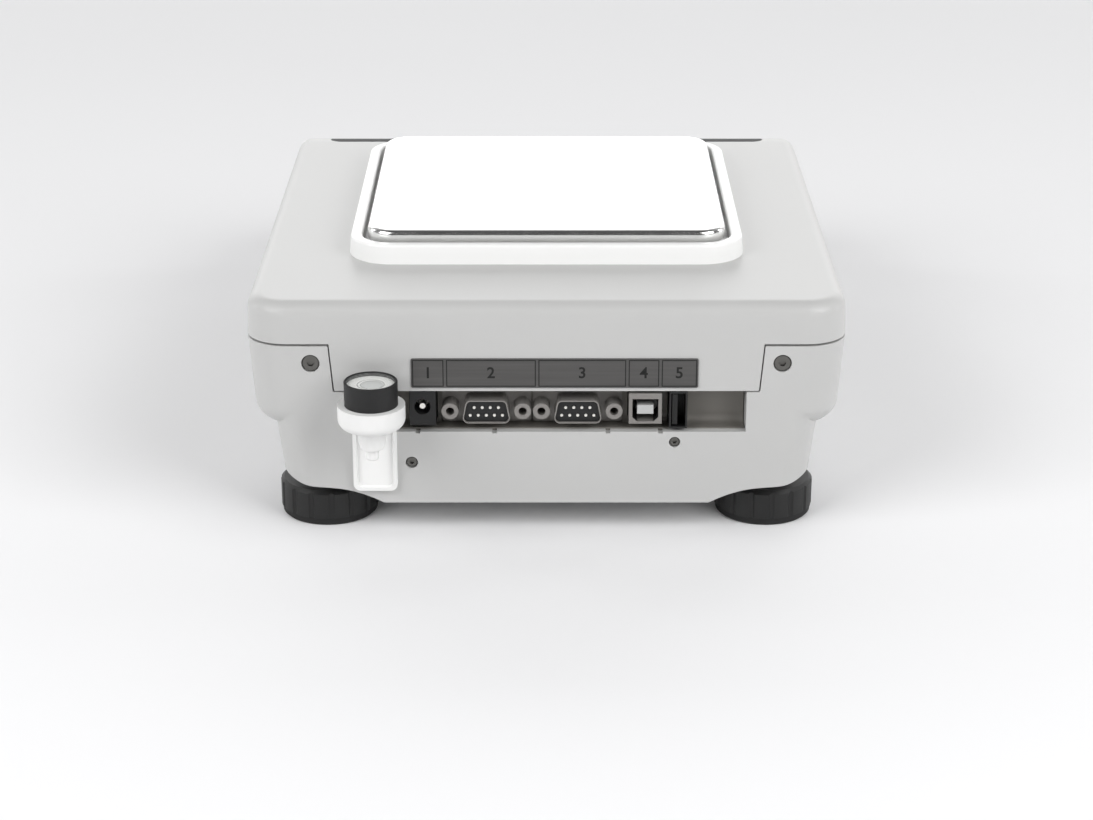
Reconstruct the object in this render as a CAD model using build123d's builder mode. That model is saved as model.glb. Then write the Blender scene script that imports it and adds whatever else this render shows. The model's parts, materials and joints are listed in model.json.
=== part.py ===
from build123d import *
import math
import os

os.makedirs("parts", exist_ok=True)

# Precision balance, in millimetres. +Z is up, the display faces -Y and the sockets face +Y.
# The origin is on the table, under the middle of the whole outline.

# Case
case_width = 206.0
case_length = 309.0
case_corner = 14.5
case_wall = 2.5
cover_draft = 0.6          # how far each cover side leans in at the top
base_draft = 3.6           # how far each side of the wide band leans in towards its foot
underside_z = 11.3
seam_z = 69.5
seam_gap = 0.8
seam_flat_run = 190.0      # level part of the seam, from the rear face
seam_front_z = 36.0
seam_bend = 60.0
top_z = 84.4
top_edge_radius = 5.0
rear_run = 211.5           # level top, from the rear face to the ridge
ridge_radius = 50.0
nose_z = 52.0              # height of the lower end of the front slope
waist_inset_bottom = 12.7  # waist's sides, in from the widest part of the case
waist_inset_top = 8.2
waist_half_bottom = case_width / 2 - waist_inset_bottom
waist_half_top = case_width / 2 - waist_inset_top
waist_corner = 10.0
waist_wall = 3.1
step_z = 38.5              # underside of the wide band, at the rear
step_front_z = 25.0
step_radius = 8.0

# Bubble level on the rear face
level_x = 59.2
level_reach = 12.5         # level axis, out from the rear face
cup_radius = 11.5
cup_bottom_z = 44.6
cup_top_z = 53.0
cup_edge = 3.6
cup_floor = 2.2
level_ring_radius = 9.1
level_ring_top_z = 61.5
level_ring_wall = 0.9
level_lip = 0.4
level_disc_z = 60.0        # top of the white disc under the glass
bracket_width = 15.2
bracket_bottom_z = 16.5
bracket_thickness = 1.8
bracket_corner = 2.5
bracket_rim = 1.3
scoop_depth = 1.1
stub_top_radius = 5.25
stub_bottom_radius = 4.25
stub_bottom_z = 37.0
stub_pin_radius = 2.2
stub_pin_z = 32.8
stub_round = 0.9

# Frame of the whole part
level_overhang = level_reach + cup_radius
overall_length = case_length + level_overhang
rear_y = overall_length / 2 - level_overhang
front_y = rear_y - case_length
mid_y = (rear_y + front_y) / 2
ridge_y = rear_y - rear_run
slope = math.atan2(top_z - nose_z, ridge_y - front_y)

# Pan, its carrier and the tray round them
pan_size = 128.0
pan_corner = 10.0
pan_top_z = 94.7
pan_sheet = 1.0
pan_skirt = 4.6
pan_fold = 1.8
pan_inset = 113.3          # pan centre, in from the rear face
pan_y = rear_y - pan_inset
tray_size = 141.0
tray_corner = 15.5
tray_wall = 4.6
tray_rim_z = 91.3
tray_floor = 1.6
tray_lean = 0.5
tray_edge = 1.0
tray_hole_radius = 17.5
cover_hole_radius = 22.0
tray_spigot_depth = 3.5
cushion_radius = 5.0
cushion_height = 1.6
arm_reach = 46.0           # carrier arm tips, from the pan centre along X and along Y
arm_width = 11.0
arm_thickness = 3.0
hub_radius = 14.0
hub_height = 5.0

# Front panel on the slope
panel_margin = 13.5        # panel's sides, in from the case's sides
panel_width = case_width - 2 * panel_margin
panel_length = 93.0
panel_corner = 5.0
panel_film = 1.0
panel_gap = 0.25
panel_lap = 5.5            # how far the panel runs over the ridge on to the level top
window_margin = 30.5       # window's ends, in from the panel's sides
window_width = panel_width - 2 * window_margin
window_length = 27.0
window_up = 17.0           # window centre, up the slope from the panel's middle
window_border = 3.0
key_row_down = 24.0        # key row, down the slope from the panel's middle
key_row_margin = 10.0      # ends of the key row, in from the panel's sides
key_length = 13.0
key_extra = 7.0            # added to the width of the two end keys
key_space = 10.0
key_corner = 3.0
key_gap = 0.3
key_rise = 1.2
key_travel = 0.8
key_flange = 1.2
key_flange_thickness = 1.2
key_stem_radius = 2.0
key_stem_length = 2.6
key_names = ["key_power", "key_print", "key_menu", "key_mode", "key_unit", "key_tare"]
key_row_length = panel_width - 2 * key_row_margin
key_pitch = (key_row_length + key_space - key_extra) / len(key_names)
key_board_depth = 9.0      # top of the key board, under the slope
key_board_margin = 6.0
key_boss_radius = 2.0
board_thickness = 1.6
switch_height = 1.6

# Rear apron of the cover, and the socket bay under it
apron_margin = 28.9        # apron's sides at the seam, in from the case's sides
apron_lean = 1.4
apron_half_top = case_width / 2 - apron_margin
apron_half_bottom = apron_half_top - apron_lean
apron_corner = 0.4
apron_gap = 0.45
bay_top_z = 52.9
bay_bottom_z = 38.3
bay_right = -68.6          # right-hand end, seen from the rear
bay_left = 53.0
bay_depth = 9.0
bay_cheek = 2.0
bay_notches = [44.3, 17.9, -21.2, -39.3]
notch_width = 1.6
notch_height = 1.1
socket_sheet = 1.2
socket_bend = 3.0
socket_plate_top_z = 60.0
label_left = 46.3
label_right = -51.8
label_bottom_z = 54.2
label_top_z = 64.8
label_sheet = 0.4

# Sockets, each placed by its own middle, seen from the rear with +X to the left
dc_x = 42.6
dc_z = 46.4
dc_width = 9.2
dc_height = 12.8
dc_bore = 5.6
dc_pin = 2.0
dc_depth = 16.0
serial_x = [20.7, -10.75]
serial_z = 45.0
serial_screw_pitch = 24.99
serial_flange_width = 30.8
serial_flange_height = 12.5
serial_shell_width = 16.9
serial_shell_height = 8.4
serial_shell_sheet = 0.4
serial_front_sink = 0.3
serial_mouth = 5.8
serial_pin_pitch = 2.77
serial_row_pitch = 2.84
serial_pin = 1.0
serial_pin_sink = 0.6      # pin tips, behind the shell's edge
serial_face_sink = 1.0     # insulator's face, behind the shell's edge
serial_post_radius = 2.9
serial_post_sink = 1.0     # ends of the jackscrew posts, behind the rear face
serial_post_bore = 1.45
serial_post_thread = 6.5
serial_body_depth = 10.0
usb_b_x = -33.95
usb_b_z = 46.25
usb_b_width = 11.3
usb_b_height = 11.1
usb_b_depth = 16.0
usb_a_x = -45.3
usb_a_z = 45.7
usb_a_width = 6.2
usb_a_height = 13.4
usb_a_depth = 14.0
usb_shell = 0.6
window_gap = 0.3           # sheet cut-outs round the sockets
main_board_z = 37.1        # top of the main board
main_board_half = 64.0
main_board_length = 70.0
board_gap = 0.4

# Screws
cover_screw_inset = 22.5    # from the case's side
cover_screw_x = case_width / 2 - cover_screw_inset
cover_screw_z = 62.9
cover_screw_head = 3.0
cover_screw_socket = 1.1   # half width of the hexagon socket
low_screw_socket = 0.7
low_screws = {"low_screw_left": (46.6, 26.4, 2.0), "low_screw_right": (-44.2, 34.0, 1.8)}
screw_head_height = 1.4
screw_sink = 0.5
screw_clearance = 0.15
screw_shank = 1.4
screw_length = 7.0
boss_radius = 4.2
low_boss_radius = 3.0
case_screw_inset = 21.0
case_screw_x = case_width / 2 - case_screw_inset
case_screw_y = [rear_y - 62.0, front_y + 84.0]
case_screw_radius = 1.5
case_screw_head = 3.4

# Feet
foot_side_inset = 25.8      # foot axis, in from the case's side
foot_x = case_width / 2 - foot_side_inset
foot_inset = 22.3
foot_front_inset = 31.5
knob_radius = 17.3
knob_top_z = 13.0
knob_chamfer = 1.2
flute_count = 15
flute_radius = 1.5
flute_depth = 0.5
pad_radius = 16.8
pad_thickness = 2.7
pad_chamfer = 0.7
pad_pin_radius = 3.0
pad_pin_height = 5.0
running_gap = 0.05
stud_radius = 4.0
stud_seat = 4.0            # stud end pressed into the knob
stud_top_z = 31.0
foot_rise = 3.0
foot_drop = 5.0
insert_radius = 6.5
insert_length = 9.2
insert_lip = 0.6
foot_pocket_gap = 1.0
pocket_ceiling_z = knob_top_z + foot_rise + 1.8
corner_pad_z = pocket_ceiling_z + 6.0
corner_pad_reach = 24.7     # thick corner, in from the foot's axis
corner_pad_x = foot_x - corner_pad_reach
arch_reach = 46.0          # length of the cut-away over a rear foot, in from the rear face
arch_front_reach = 58.0
# Ceiling of the cut-away over a foot: out from the foot's axis, and up from the underside
arch_curve = [(-21.1, -0.2), (-15.2, 2.6), (-7.4, 4.9), (0.0, 5.7), (5.8, 6.4), (11.8, 8.8), (26.8, 15.0)]
feet = {
    "rear_left": (foot_x, rear_y - foot_inset),
    "rear_right": (-foot_x, rear_y - foot_inset),
    "front_left": (foot_x, front_y + foot_front_inset),
    "front_right": (-foot_x, front_y + foot_front_inset),
}

# Weighing cell, placed from the pan centre; the guides run from the fixed frame to the receptor
frame_half = 34.0
frame_thickness = 6.0
frame_rear = 15.0
frame_front = 112.0
guide_high_z = 63.0
guide_low_z = 27.0
guide_tip = 13.0           # pins on the receptor, forward of the pan centre
guide_root = 62.0          # pins in the frame, forward of the pan centre
guide_half = 21.7
guide_strip = 6.0
guide_sheet = 2.4
knuckle_radius = 2.9
guide_pin_radius = 1.5
cheek_gap = 0.3
cheek_thickness = 6.0
cheek_radius = 4.0
receptor_half = 9.0
receptor_clear = 2.6       # receptor foot, over the frame
post_radius = 6.0
beam_pivot = 26.0          # beam pivot, forward of the pan centre
beam_z = 44.0
beam_height = 6.0
beam_half = 3.6
beam_nose = 12.0           # short arm, from the pivot to the receptor's finger
coil_run = 62.0            # long arm, from the pivot to the coil
beam_stand_thickness = 5.0
finger_thickness = 3.0
finger_gap = 0.1
coil_inner_radius = 10.8
coil_outer_radius = 13.2
coil_bottom_z = 28.0
magnet_radius = 19.0
magnet_height = 17.0
magnet_core_radius = 8.8
magnet_groove_radius = 15.2
magnet_base = 5.0
vane_length = 22.0
vane_half = 0.8
sensor_half = 8.0
sensor_depth = 8.0
sensor_slot_half = 3.0
sensor_top_z = 56.0

# Cover plug under the cell, over the opening for weighing below the balance
plug_radius = 9.0
plug_flange_radius = 11.0
plug_flange = 1.4
plug_depth = 4.0



def save(part, name):
    """Labels a finished piece and writes it to its own file."""
    part.label = name
    export_step(part, f"parts/{name}.step")


def section_face(points, inset):
    """A closed outline in the YZ plane, drawn in on every side by inset."""
    with BuildSketch(Plane.YZ) as outline:
        with BuildLine():
            Polyline(*points, close=True)
        make_face()
        if inset:
            offset(amount=-inset, kind=Kind.INTERSECTION, mode=Mode.REPLACE)
    return outline


def rounded_slab(z, half_width, length, corner):
    """A rounded rectangle on the case's middle, for lofting."""
    with BuildSketch(Plane.XY.offset(z)) as slab:
        with Locations((0, mid_y)):
            RectangleRounded(2 * half_width, length, corner)
    return slab.sketch


def round_outer_rim(band, direction, radius):
    """Fillets the outer edges of all faces that look up, or down."""
    faces = band.faces().filter_by(lambda f: f.normal_at().Z * direction > 0.5)
    edges = [edge for face in faces for edge in face.edges()]
    rim = [edge for edge in edges if sum(edge.is_same(other) for other in edges) == 1]
    fillet(rim, radius)


def band_form(inset=0.0):
    """The wide upper part of the closed case, drawn in on every side by inset."""
    half = case_width / 2 - inset
    length = case_length - 2 * inset
    corner = case_corner - inset
    points = [
        (rear_y, step_z),
        (rear_y, top_z),
        (ridge_y, top_z),
        (front_y, nose_z),
        (front_y, step_front_z),
        (rear_y - seam_flat_run, step_z),
    ]
    with section_face(points, inset) as side:
        ridge = side.vertices().sort_by(Axis.Y)[-2:].sort_by(Axis.X)[0]
        fillet(ridge, ridge_radius - inset)
    with BuildPart() as band:
        add(rounded_slab(step_front_z - 5, half - base_draft, length, corner))
        add(rounded_slab(seam_z, half, length, corner))
        loft(ruled=True)
        add(rounded_slab(seam_z, half, length, corner))
        add(rounded_slab(top_z + 5, half - cover_draft, length, corner))
        loft(ruled=True)
        extrude(side.sketch, amount=case_width, both=True, mode=Mode.INTERSECT)
        if not inset:
            round_outer_rim(band, 1, top_edge_radius)
            round_outer_rim(band, -1, step_radius)
    return band.part


def waist_form(inset=0.0):
    """The narrower lower part of the closed case, drawn in on every side by inset."""
    length = case_length - 2 * inset
    corner = waist_corner - inset
    with BuildPart() as waist:
        add(rounded_slab(underside_z, waist_half_bottom - inset, length, corner))
        add(rounded_slab(step_z + step_radius + 1, waist_half_top - inset, length, corner))
        loft(ruled=True)
        if inset:
            split(bisect_by=Plane.XY.offset(underside_z + case_wall), keep=Keep.TOP)
    return waist.part


def above_seam(shift):
    """Everything above the seam between cover and housing, raised by shift."""
    with BuildPart() as region:
        with BuildSketch(Plane.YZ) as side:
            with BuildLine():
                Polyline(
                    (rear_y + 60, seam_z + shift),
                    (rear_y - seam_flat_run, seam_z + shift),
                    (front_y, seam_front_z + shift),
                    (front_y - 20, seam_front_z + shift),
                    (front_y - 20, 2 * top_z),
                    (rear_y + 60, 2 * top_z),
                    close=True,
                )
            make_face()
            bend = side.vertices().sort_by_distance((rear_y - seam_flat_run, seam_z + shift, 0))[0]
            fillet(bend, seam_bend)
        extrude(amount=case_width, both=True)
    return region.part


def seam_height(y):
    """Height of the seam at one place along the case, ahead of its bend."""
    bend_y = rear_y - seam_flat_run
    if y > bend_y:
        return seam_z
    return seam_z - (bend_y - y) * (seam_z - seam_front_z) / (bend_y - front_y)


def slope_plane(up=0.0, across=0.0, height=0.0):
    """A plane on the front slope. Its own x runs across and its y runs up the slope."""
    middle = panel_length / 2 - panel_lap
    origin = (0, ridge_y - middle * math.cos(slope), top_z - middle * math.sin(slope))
    on_slope = Plane(origin, x_dir=(1, 0, 0), z_dir=(0, -math.sin(slope), math.cos(slope)))
    return on_slope.shift_origin(on_slope.from_local_coords((across, up, 0))).offset(height)


def slope_block(width, length, corner, up=0.0, across=0.0, grow=0.0, low=-20.0, high=20.0):
    """A rounded block that stands on the slope, from low to high along its normal."""
    with BuildPart() as block:
        with BuildSketch(slope_plane(up, across, low)):
            RectangleRounded(width + 2 * grow, length + 2 * grow, corner + grow)
        extrude(amount=high - low)
    return block.part


def rear_plane(x=0.0, z=0.0, out=0.0):
    """A plane on the rear face that looks out of it. Its own x runs to -X."""
    return Plane((x, rear_y + out, z), x_dir=(-1, 0, 0), z_dir=(0, 1, 0))


def screw(plane, head_radius, head_height, shank_radius, length, socket=0.0):
    """A screw with a hexagon socket, or else a cross recess. The plane is the top of its head."""
    with BuildPart() as piece:
        with BuildSketch(plane):
            Circle(head_radius)
        extrude(amount=-head_height)
        fillet(piece.edges().filter_by(GeomType.CIRCLE).sort_by_distance(plane.origin)[0], 0.5)
        with BuildSketch(plane):
            Circle(shank_radius)
        extrude(amount=-length)
        with BuildSketch(plane):
            if socket:
                RegularPolygon(socket, 6, major_radius=False)
            else:
                Rectangle(1.3 * head_radius, 0.3 * head_radius)
                Rectangle(0.3 * head_radius, 1.3 * head_radius)
        extrude(amount=-0.6 * head_height, mode=Mode.SUBTRACT)
    return piece.part


with BuildPart() as outer_case:
    add(waist_form())
    add(band_form())
outer_form = outer_case.part
with BuildPart() as inner_case:
    add(waist_form(waist_wall))
    add(band_form(case_wall))
inner_form = inner_case.part
shell = outer_form - inner_form
film_layer = band_form() - band_form(panel_film)
key_columns = [key_pitch * (i - (len(key_names) - 1) / 2) for i in range(len(key_names))]
key_widths = [key_pitch - key_space] * len(key_names)
key_widths[0] += key_extra
key_widths[-1] += key_extra
key_board_half = key_columns[-1] + key_widths[-1] / 2 + key_board_margin
key_board_width = key_length + 10.0
window_opening_width = window_width - 2 * window_border
window_opening_length = window_length - 2 * window_border
case_screws = [(x, y) for x in (-case_screw_x, case_screw_x) for y in case_screw_y]
apron_slant = (apron_half_top - apron_half_bottom) / (seam_z - bay_top_z)


def apron_face(grow, top):
    """Outline of the rear apron, from its lower edge up to top."""
    half_low = apron_half_bottom + grow
    half_high = apron_half_bottom + grow + apron_slant * (top - bay_top_z)
    with BuildSketch(Plane.XZ.offset(-rear_y)) as face:
        with BuildLine():
            Polyline(
                (-half_high, top),
                (half_high, top),
                (half_low, bay_top_z - grow),
                (-half_low, bay_top_z - grow),
                close=True,
            )
        make_face()
        fillet(face.vertices().group_by(Axis.Y)[0], apron_corner + grow)
    return face.sketch


# Upper cover: one moulded shell, with an apron down its rear and posts for the case screws
with BuildPart() as cover_posts:
    with BuildSketch(Plane.XY.offset(seam_front_z)):
        with Locations(*case_screws):
            Circle(boss_radius)
    extrude(amount=top_z)
    add(above_seam(seam_gap / 2), mode=Mode.INTERSECT)
    add(inner_form, mode=Mode.INTERSECT)

with BuildPart() as upper_cover:
    add(shell)
    add(above_seam(seam_gap / 2), mode=Mode.INTERSECT)
    extrude(apron_face(0, seam_z + seam_gap), amount=case_wall)
    add(cover_posts.part)
    with BuildSketch(Plane.XY.offset(top_z)):
        with Locations((0, pan_y)):
            Circle(cover_hole_radius)
    extrude(amount=-3 * case_wall, mode=Mode.SUBTRACT)
    recess = slope_block(panel_width, panel_length, panel_corner, grow=panel_gap)
    add(film_layer & recess, mode=Mode.SUBTRACT)
    opening = slope_block(window_opening_width, window_opening_length, 1.0, up=window_up)
    add(opening, mode=Mode.SUBTRACT)
    for across, width in zip(key_columns, key_widths):
        add(
            slope_block(width, key_length, key_corner, up=-key_row_down, across=across, grow=key_gap),
            mode=Mode.SUBTRACT,
        )
    with BuildSketch(Plane.XY.offset(seam_front_z)):
        with Locations(*case_screws):
            Circle(case_screw_radius)
    extrude(amount=seam_z + 6 - seam_front_z, mode=Mode.SUBTRACT)
    with BuildSketch(slope_plane(-key_row_down, 0, -key_board_depth)):
        boss_x = 2 * (key_board_half - key_boss_radius - 0.2)
        with GridLocations(boss_x, key_board_width - 4 * key_boss_radius, 2, 2):
            Circle(key_boss_radius)
    extrude(amount=key_board_depth - case_wall)
save(upper_cover.part, "upper_cover")


# Lower housing: tub with arches over the feet, the socket bay and posts for what it carries
def corner_pads():
    """Thick corners of the tub, which carry the feet."""
    with BuildPart() as pads:
        with BuildSketch(Plane.XY.offset(underside_z)):
            for side in (-1, 1):
                width = waist_half_top - corner_pad_x
                with Locations((side * (corner_pad_x + width / 2), rear_y - arch_reach / 2)):
                    Rectangle(width, arch_reach + 2 * case_wall)
                with Locations((side * (corner_pad_x + width / 2), front_y + arch_front_reach / 2)):
                    Rectangle(width, arch_front_reach + 2 * case_wall)
        extrude(amount=corner_pad_z - underside_z)
        add(outer_form, mode=Mode.INTERSECT)
    return pads.part


def foot_arches():
    """What is cut away from the underside, over each foot."""
    with BuildPart() as arches:
        for start, reach in ((rear_y, arch_reach), (front_y + arch_front_reach, arch_front_reach)):
            with BuildSketch(Plane.XZ.offset(-start)) as arch:
                with BuildLine():
                    ceiling = Spline(*[(foot_x + out, underside_z + up) for out, up in arch_curve])
                    inner_x, outer_x = (ceiling @ 0).X, (ceiling @ 1).X
                    Polyline(ceiling @ 1, (outer_x, 0), (inner_x, 0), ceiling @ 0)
                make_face()
                mirror(about=Plane.YZ)
            extrude(amount=reach)
    return arches.part


posts_top_z = main_board_z - board_thickness
board_y = rear_y - bay_depth - socket_sheet - board_gap - main_board_length / 2
board_posts = [
    (x, board_y + y)
    for x in (-main_board_half + 6, main_board_half - 6)
    for y in (-main_board_length / 2 + 6, main_board_length / 2 - 6)
]
floor_z = underside_z + case_wall

with BuildPart() as housing_posts:
    with BuildSketch(Plane.XY.offset(underside_z)):
        with Locations(*case_screws):
            Circle(boss_radius)
    extrude(amount=seam_z)
    add(above_seam(-seam_gap / 2), mode=Mode.SUBTRACT)
    add(outer_form, mode=Mode.INTERSECT)
    with BuildSketch(Plane.XY.offset(underside_z)):
        with Locations(*board_posts):
            Circle(boss_radius)
    extrude(amount=posts_top_z - underside_z)
    with BuildSketch(Plane.XY.offset(underside_z)):
        with Locations(*feet.values()):
            Circle(insert_radius + case_wall)
    extrude(amount=pocket_ceiling_z + insert_lip + insert_length - underside_z)

with BuildPart() as lower_housing:
    add(shell)
    add(above_seam(-seam_gap / 2), mode=Mode.SUBTRACT)
    extrude(apron_face(apron_gap, seam_z + 1), amount=case_wall, mode=Mode.SUBTRACT)
    add(housing_posts.part)
    add(corner_pads())
    add(foot_arches(), mode=Mode.SUBTRACT)
    with BuildSketch(Plane.XY):
        with Locations(*feet.values()):
            Circle(knob_radius + foot_pocket_gap)
    extrude(amount=pocket_ceiling_z, mode=Mode.SUBTRACT)
    with BuildSketch(Plane.XY.offset(pocket_ceiling_z)):
        with Locations(*feet.values()):
            Circle(stud_radius + insert_lip)
    extrude(amount=2 * insert_length, mode=Mode.SUBTRACT)
    with BuildSketch(Plane.XY.offset(pocket_ceiling_z + insert_lip)):
        with Locations(*feet.values()):
            Circle(insert_radius)
    extrude(amount=2 * insert_length, mode=Mode.SUBTRACT)
    # Socket bay: opening in the rear wall, cheeks and a ledge for the socket plate
    bay_middle = (bay_left + bay_right) / 2
    bay_width = bay_left - bay_right
    plate_back = bay_depth + socket_sheet
    with BuildSketch(rear_plane(bay_middle, 0, -case_wall)):
        for side in (-1, 1):
            with Locations((side * (bay_width + bay_cheek) / 2, (socket_plate_top_z + pocket_ceiling_z) / 2)):
                Rectangle(bay_cheek, socket_plate_top_z - pocket_ceiling_z)
        with Locations((0, bay_bottom_z - socket_sheet - bay_cheek / 2)):
            Rectangle(bay_width + 2 * bay_cheek, bay_cheek)
    extrude(amount=case_wall - plate_back)
    with BuildSketch(rear_plane(bay_middle, (bay_bottom_z + bay_top_z) / 2)):
        Rectangle(bay_width, bay_top_z - bay_bottom_z + 2 * apron_gap)
    extrude(amount=-waist_wall, mode=Mode.SUBTRACT)
    with BuildSketch(rear_plane(0, bay_bottom_z)):
        for x in bay_notches:
            with Locations((-x, 0)):
                Rectangle(notch_width, 2 * notch_height)
    extrude(amount=-waist_wall, mode=Mode.SUBTRACT)
    # Screw holes
    for side in (-1, 1):
        with BuildSketch(rear_plane(side * cover_screw_x, cover_screw_z, -case_wall)):
            Circle(boss_radius)
        extrude(amount=-screw_length)
        with BuildSketch(rear_plane(side * cover_screw_x, cover_screw_z)):
            Circle(cover_screw_head + screw_clearance)
        extrude(amount=-screw_sink - screw_head_height, mode=Mode.SUBTRACT)
        with BuildSketch(rear_plane(side * cover_screw_x, cover_screw_z)):
            Circle(screw_shank)
        extrude(amount=-screw_length - screw_sink, mode=Mode.SUBTRACT)
    for x, z, head in low_screws.values():
        with BuildSketch(rear_plane(x, z, -case_wall)):
            Circle(low_boss_radius)
        extrude(amount=-screw_length)
        with BuildSketch(rear_plane(x, z)):
            Circle(head + screw_clearance)
        extrude(amount=-screw_sink - screw_head_height, mode=Mode.SUBTRACT)
        with BuildSketch(rear_plane(x, z)):
            Circle(screw_shank)
        extrude(amount=-screw_length - screw_sink, mode=Mode.SUBTRACT)
    with BuildSketch(Plane.XY.offset(underside_z)):
        with Locations(*case_screws):
            Circle(case_screw_head + screw_clearance)
    extrude(amount=case_wall, mode=Mode.SUBTRACT)
    with BuildSketch(Plane.XY.offset(underside_z)):
        with Locations(*case_screws):
            Circle(case_screw_radius)
    extrude(amount=seam_z, mode=Mode.SUBTRACT)
    with BuildSketch(Plane.XY.offset(underside_z)):
        with Locations((0, pan_y)):
            Circle(plug_radius + running_gap)
    extrude(amount=case_wall, mode=Mode.SUBTRACT)
save(lower_housing.part, "lower_housing")


# Tray ring: raised square wall round the pan, on a thin floor with a locating spigot
def square(size, corner, z):
    """A rounded square round the pan's middle."""
    with BuildSketch(Plane.XY.offset(z)) as outline:
        with Locations((0, pan_y)):
            RectangleRounded(size, size, corner)
    return outline.sketch


tray_bore = tray_size - 2 * tray_wall
with BuildPart() as tray_ring:
    add(square(tray_size, tray_corner, top_z))
    add(square(tray_size - 2 * tray_lean, tray_corner - tray_lean, tray_rim_z))
    loft(ruled=True)
    extrude(square(tray_bore, tray_corner - tray_wall, top_z + tray_floor), amount=top_z, mode=Mode.SUBTRACT)
    fillet(tray_ring.edges().group_by(Axis.Z)[-1], tray_edge)
    with BuildSketch(Plane.XY.offset(top_z)):
        with Locations((0, pan_y)):
            Circle(cover_hole_radius - window_gap)
    extrude(amount=-tray_spigot_depth)
    with BuildSketch(Plane.XY.offset(top_z + tray_floor)):
        with Locations((0, pan_y)):
            Circle(tray_hole_radius)
    extrude(amount=-tray_floor - tray_spigot_depth, mode=Mode.SUBTRACT)
save(tray_ring.part, "tray_ring")

# Pan: pressed stainless sheet with a folded skirt
with BuildPart() as weighing_pan:
    extrude(square(pan_size, pan_corner, pan_top_z), amount=-pan_skirt)
    fillet(weighing_pan.edges().group_by(Axis.Z)[-1], pan_fold)
    underside = weighing_pan.faces().sort_by(Axis.Z)[0]
    offset(amount=-pan_sheet, openings=underside)
save(weighing_pan.part, "weighing_pan")

# Pan carrier: cast cross with a hub on the receptor's post, and a rubber cushion on each arm
carrier_top_z = pan_top_z - pan_sheet - cushion_height
arm_tips = [(x, pan_y + y) for x in (-arm_reach, arm_reach) for y in (-arm_reach, arm_reach)]
arm_length = 2 * math.hypot(arm_reach, arm_reach)
with BuildPart() as pan_carrier:
    with BuildSketch(Plane.XY.offset(carrier_top_z)):
        for turn in (45, -45):
            with Locations(Location((0, pan_y, 0), (0, 0, turn))):
                SlotCenterToCenter(arm_length, arm_width)
    extrude(amount=-arm_thickness)
    with BuildSketch(Plane.XY.offset(carrier_top_z)):
        with Locations((0, pan_y)):
            Circle(hub_radius)
    extrude(amount=-hub_height)
    fillet(pan_carrier.edges().group_by(Axis.Z)[0], 1.0)
    with BuildSketch(Plane.XY.offset(carrier_top_z - 1.5)):
        with Locations((0, pan_y)):
            Circle(post_radius)
    extrude(amount=-hub_height, mode=Mode.SUBTRACT)
save(pan_carrier.part, "pan_carrier")

with BuildPart() as pan_cushions:
    with BuildSketch(Plane.XY.offset(carrier_top_z)):
        with Locations(*arm_tips):
            Circle(cushion_radius)
    extrude(amount=cushion_height)
    chamfer(pan_cushions.edges().group_by(Axis.Z)[-1], 0.4)
save(pan_cushions.part, "pan_cushions")

# Front panel, display window and what lies under them
key_holes = [
    slope_block(width, key_length, key_corner, up=-key_row_down, across=across, grow=key_gap)
    for across, width in zip(key_columns, key_widths)
]
with BuildPart() as front_panel:
    add(film_layer)
    add(slope_block(panel_width, panel_length, panel_corner), mode=Mode.INTERSECT)
    add(slope_block(window_width, window_length, 2.0, up=window_up), mode=Mode.SUBTRACT)
    for hole in key_holes:
        add(hole, mode=Mode.SUBTRACT)
save(front_panel.part, "front_panel")

with BuildPart() as display_window:
    add(film_layer)
    add(
        slope_block(window_width, window_length, 2.0, up=window_up, grow=-running_gap),
        mode=Mode.INTERSECT,
    )
save(display_window.part, "display_window")

module_thickness = 6.0
with BuildPart() as display_module:
    with BuildSketch(slope_plane(window_up, 0, -case_wall)):
        Rectangle(window_width, window_length + 4)
    extrude(amount=-module_thickness)
    with BuildSketch(slope_plane(window_up, 0, -case_wall)):
        Rectangle(window_opening_width - 2, window_opening_length - 2)
    extrude(amount=0.4)
save(display_module.part, "display_module")

for key_name, across, width in zip(key_names, key_columns, key_widths):
    with BuildPart() as key:
        with BuildSketch(slope_plane(-key_row_down, across, key_rise)):
            RectangleRounded(width, key_length, key_corner)
        extrude(amount=-key_rise - case_wall - running_gap)
        top_face = key.faces().sort_by_distance(slope_plane(-key_row_down, across, key_rise).origin)[0]
        fillet(top_face.edges(), 0.7)
        with BuildSketch(slope_plane(-key_row_down, across, -case_wall - running_gap)):
            RectangleRounded(width + 2 * key_flange, key_length + 2 * key_flange, key_corner)
        extrude(amount=-key_flange_thickness)
        with BuildSketch(slope_plane(-key_row_down, across, -case_wall - key_flange_thickness)):
            Circle(key_stem_radius)
        extrude(amount=-key_stem_length)
    save(key.part, key_name)

with BuildPart() as key_board:
    with BuildSketch(slope_plane(-key_row_down, 0, -key_board_depth)):
        Rectangle(2 * key_board_half, key_board_width)
    extrude(amount=-board_thickness)
    with BuildSketch(slope_plane(-key_row_down, 0, -key_board_depth)):
        with Locations(*[(across, 0) for across in key_columns]):
            Rectangle(6.0, 6.0)
    extrude(amount=switch_height)
save(key_board.part, "key_board")

# Main board, socket plate and sockets
plate_front = -bay_depth
board_back = rear_y - bay_depth - socket_sheet - board_gap
with BuildPart() as main_board:
    with BuildSketch(Plane.XY.offset(main_board_z)):
        with Locations((0, board_y)):
            Rectangle(2 * main_board_half, main_board_length)
    extrude(amount=-board_thickness)
    with BuildSketch(Plane.XY.offset(main_board_z)):
        with Locations((-32, board_y)):
            Rectangle(20, 20)
        with Locations((18, board_y - 4)):
            Rectangle(14, 14)
    extrude(amount=2.0)
    with BuildSketch(Plane.XY.offset(main_board_z)):
        with Locations((46, board_y - 16), (46, board_y)):
            Circle(5)
    extrude(amount=9.0)
save(main_board.part, "main_board")


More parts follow.
